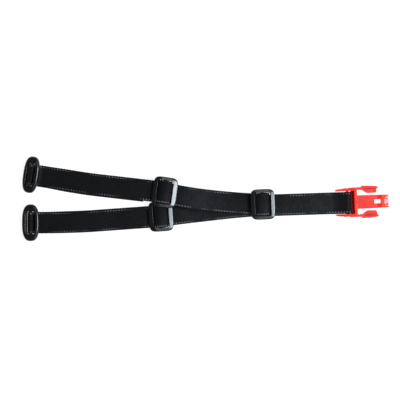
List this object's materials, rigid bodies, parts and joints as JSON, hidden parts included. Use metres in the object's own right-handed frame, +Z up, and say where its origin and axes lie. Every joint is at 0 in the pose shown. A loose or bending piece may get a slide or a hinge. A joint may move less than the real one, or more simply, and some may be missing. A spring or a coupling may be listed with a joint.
{
  "type": "transceiver harness",
  "caption": "Y-shaped webbing harness with two looped end rings, strap sliders and the plug half of a red side-release buckle.",
  "frame": {"origin": "centre of the footprint, on the surface the harness lies on", "axes": "+X from the end rings to the buckle's tongue, +Z up"},
  "size_m": [0.345, 0.0793, 0.0116],
  "materials": {
    "black_webbing": "matte woven elastic webbing",
    "black_thread": "bonded polyester thread",
    "black_acetal": "satin moulded acetal",
    "red_acetal": "satin moulded acetal"
  },
  "bodies": {
    "tail": {"tail_webbing": "black_webbing", "junction_bar_tack": "black_thread", "tail_bar_tack": "black_thread"},
    "upper_branch": {"upper_branch_webbing": "black_webbing", "upper_branch_bar_tack": "black_thread"},
    "lower_branch": {"lower_branch_webbing": "black_webbing", "lower_branch_bar_tack": "black_thread"},
    "upper_slider": {"upper_slider": "black_acetal", "upper_slider_webbing": "black_webbing"},
    "lower_slider": {"lower_slider": "black_acetal", "lower_slider_webbing": "black_webbing"},
    "junction_slider": {"junction_slider": "black_acetal", "junction_slider_webbing": "black_webbing"},
    "upper_ring": {"upper_end_ring": "black_acetal"},
    "lower_ring": {"lower_end_ring": "black_acetal"},
    "buckle": {"buckle_body": "red_acetal"},
    "upper_arm": {"buckle_upper_arm": "red_acetal"},
    "lower_arm": {"buckle_lower_arm": "red_acetal"}
  },
  "joints": [
    {"name": "upper_branch_swing", "type": "hinge", "parent": "tail", "child": "upper_branch", "pos_m": [0.05173, -0.0061, 0.0021], "axis": [0, 0, -1], "range_deg": [0, 25]},
    {"name": "lower_branch_swing", "type": "hinge", "parent": "tail", "child": "lower_branch", "pos_m": [0.05173, -0.0061, 0.0006], "axis": [0, 0, 1], "range_deg": [0, 25]},
    {"name": "upper_slider_slide", "type": "slide", "parent": "upper_branch", "child": "upper_slider", "axis": [-0.9923, 0.1141, -0.048], "range_m": [0, 0.05]},
    {"name": "lower_slider_slide", "type": "slide", "parent": "lower_branch", "child": "lower_slider", "axis": [-0.9974, -0.0718, 0], "range_m": [0, 0.05]},
    {"name": "junction_slider_slide", "type": "slide", "parent": "tail", "child": "junction_slider", "axis": [0.9992, 0.032, -0.0242], "range_m": [0, 0.04]},
    {"name": "upper_ring_tilt", "type": "hinge", "parent": "upper_branch", "child": "upper_ring", "pos_m": [-0.16317, 0.0224, 0.0058], "axis": [-0.1483, -0.9889, 0], "range_deg": [0, 60]},
    {"name": "lower_ring_tilt", "type": "hinge", "parent": "lower_branch", "child": "lower_ring", "pos_m": [-0.16377, -0.0225, 0.0047], "axis": [0, -1, 0], "range_deg": [0, 60]},
    {"name": "buckle_pivot", "type": "hinge", "parent": "tail", "child": "buckle", "pos_m": [0.13313, -0.00355, 0.0034], "axis": [0.0401, -0.9992, 0], "range_deg": [-80, 80]},
    {"name": "upper_arm_flex", "type": "hinge", "parent": "buckle", "child": "upper_arm", "pos_m": [0.14151, 0.00952, 0.0034], "axis": [0, 0, -1], "range_deg": [0, 6], "stiffness_Nm_per_rad": 0.03},
    {"name": "lower_arm_flex", "type": "hinge", "parent": "buckle", "child": "lower_arm", "pos_m": [0.14253, -0.0159, 0.0034], "axis": [0, 0, 1], "range_deg": [0, 6], "stiffness_Nm_per_rad": 0.03}
  ]
}
